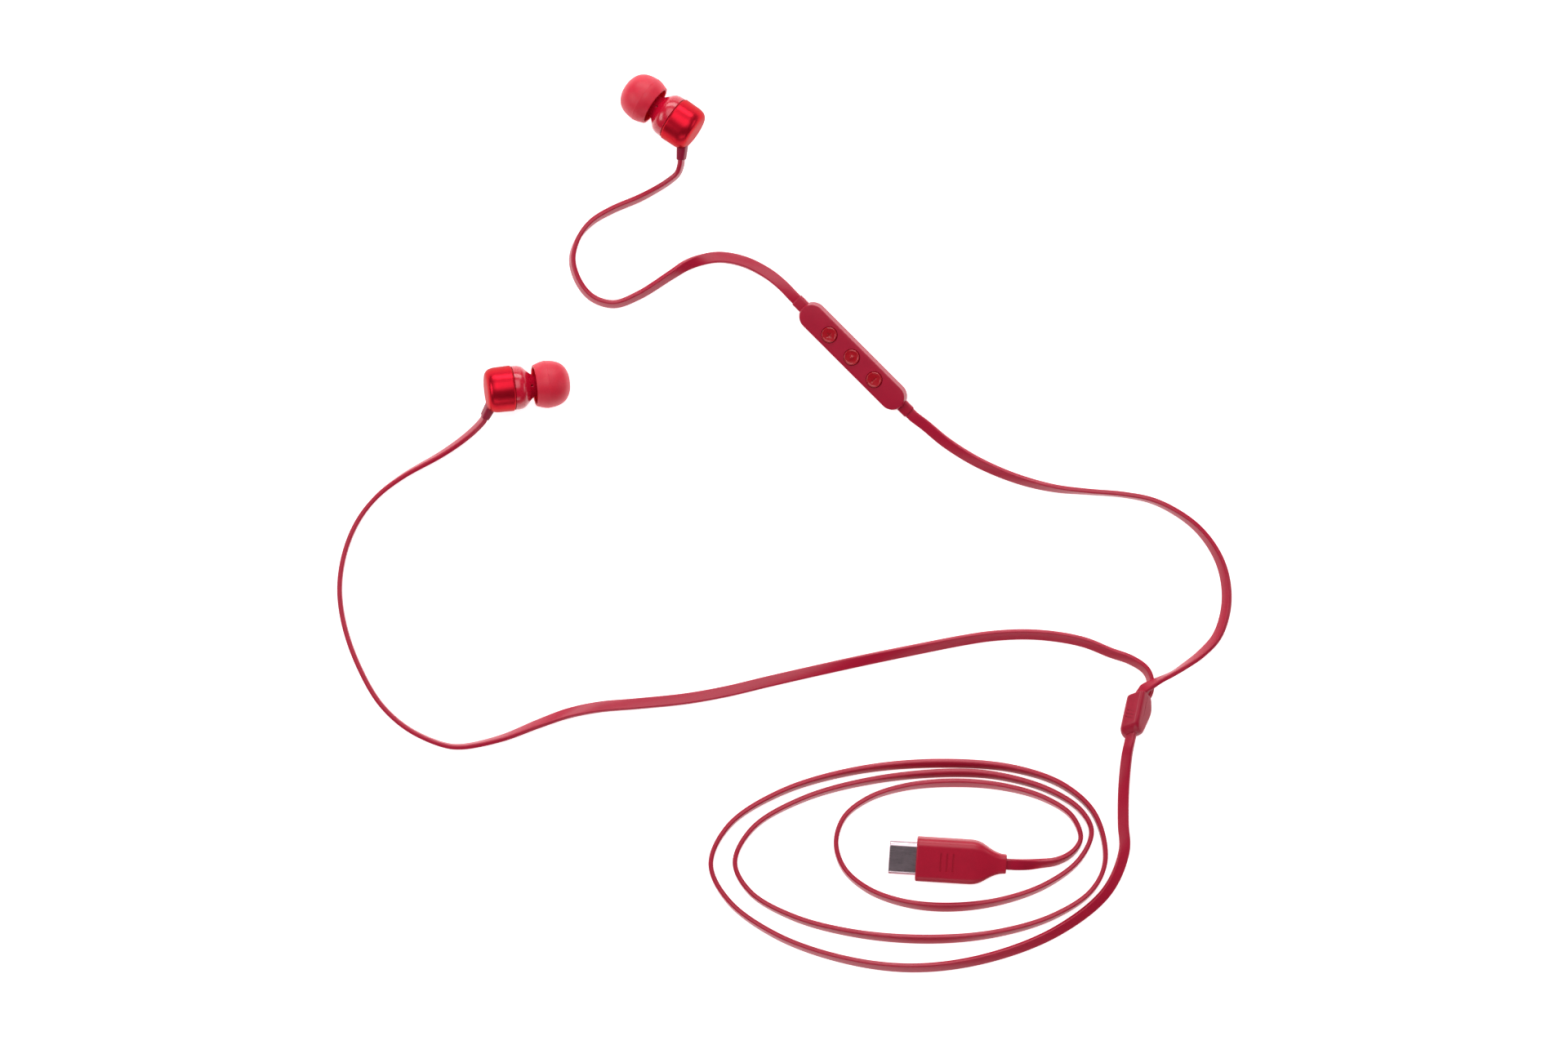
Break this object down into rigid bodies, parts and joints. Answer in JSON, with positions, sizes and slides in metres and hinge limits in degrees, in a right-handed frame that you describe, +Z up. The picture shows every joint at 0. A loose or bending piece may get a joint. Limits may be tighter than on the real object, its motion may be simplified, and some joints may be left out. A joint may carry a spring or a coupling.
{
  "type": "wired earphones",
  "caption": "Wired in-ear earphones with soft ear tips, metal rear shells, flat cable, inline remote with press buttons, cable splitter and a coiled lead to a USB-C plug.",
  "frame": {"origin": "on the table, under the middle of the box around the two earphones and the remote, with the cables, splitter and plug left out", "axes": "+Z up from the table; +X to the right and +Y away from a viewer who has the coiled lead nearest to them, seen from straight above"},
  "size_m": [0.2148, 0.2156, 0.0132],
  "materials": {
    "ear_tip_silicone": "soft moulded silicone, faintly translucent",
    "screen_mesh": "fine woven mesh",
    "gloss_housing": "polished",
    "anodised_shell": "red anodised with a polished edge",
    "driver_metal": "stamped",
    "driver_magnet": "nickel plated",
    "diaphragm_film": "thin film",
    "felt": "felt",
    "relief_rubber": "matt",
    "satin_cover": "satin, finely textured",
    "circuit_board": "solder mask",
    "dark_parts": "matt black",
    "button_cap": "satin gloss",
    "grip_rubber": "soft satin overmould",
    "plug_steel": "bright, drawn",
    "black_plastic": "matt black",
    "gold_contacts": "gold plated",
    "cable_jacket": "satin elastomer jacket"
  },
  "bodies": {
    "headset": {"right_nozzle_screen": "screen_mesh", "right_front_housing": "gloss_housing", "right_rear_shell": "anodised_shell", "right_driver_frame": "driver_metal", "right_driver_magnet": "driver_magnet", "right_driver_diaphragm": "diaphragm_film", "right_damping_felt": "felt", "right_strain_relief": "relief_rubber", "left_nozzle_screen": "screen_mesh", "left_front_housing": "gloss_housing", "left_rear_shell": "anodised_shell", "left_driver_frame": "driver_metal", "left_driver_magnet": "driver_magnet", "left_driver_diaphragm": "diaphragm_film", "left_damping_felt": "felt", "left_strain_relief": "relief_rubber", "remote_front_cover": "satin_cover", "remote_back_cover": "satin_cover", "remote_circuit_board": "circuit_board", "remote_microphone": "dark_parts", "remote_upper_relief": "relief_rubber", "remote_lower_relief": "relief_rubber", "plus_switch": "dark_parts", "play_switch": "dark_parts", "minus_switch": "dark_parts", "splitter_front_half": "satin_cover", "splitter_rear_half": "satin_cover", "splitter_wire_joint": "dark_parts", "plug_grip": "grip_rubber", "usb_shell": "plug_steel", "contact_carrier": "black_plastic", "upper_contacts": "gold_contacts", "lower_contacts": "gold_contacts", "converter_board": "circuit_board", "converter_chip": "dark_parts", "right_ear_cable": "cable_jacket", "remote_to_splitter_cable": "cable_jacket", "left_ear_cable": "cable_jacket", "plug_cable": "cable_jacket"},
    "plus_button": {"plus_button": "button_cap"},
    "play_button": {"play_button": "button_cap"},
    "minus_button": {"minus_button": "button_cap"},
    "right_ear_tip": {"right_ear_tip": "ear_tip_silicone"},
    "left_ear_tip": {"left_ear_tip": "ear_tip_silicone"}
  },
  "joints": [
    {"name": "plus_press", "type": "slide", "parent": "headset", "child": "plus_button", "axis": [0.147, 0.147, -0.9781], "range_m": [0, 0.00025], "stiffness_N_per_m": 400, "springref_m": -0.002},
    {"name": "play_press", "type": "slide", "parent": "headset", "child": "play_button", "axis": [0.147, 0.147, -0.9781], "range_m": [0, 0.00025], "stiffness_N_per_m": 400, "springref_m": -0.002},
    {"name": "minus_press", "type": "slide", "parent": "headset", "child": "minus_button", "axis": [0.147, 0.147, -0.9781], "range_m": [0, 0.00025], "stiffness_N_per_m": 400, "springref_m": -0.002},
    {"name": "right_tip_pull", "type": "slide", "parent": "headset", "child": "right_ear_tip", "axis": [-0.8151, 0.5623, -0.1392], "range_m": [0, 0.0032]},
    {"name": "left_tip_pull", "type": "slide", "parent": "headset", "child": "left_ear_tip", "axis": [0.9783, 0.1132, -0.1737], "range_m": [0, 0.0032]}
  ]
}
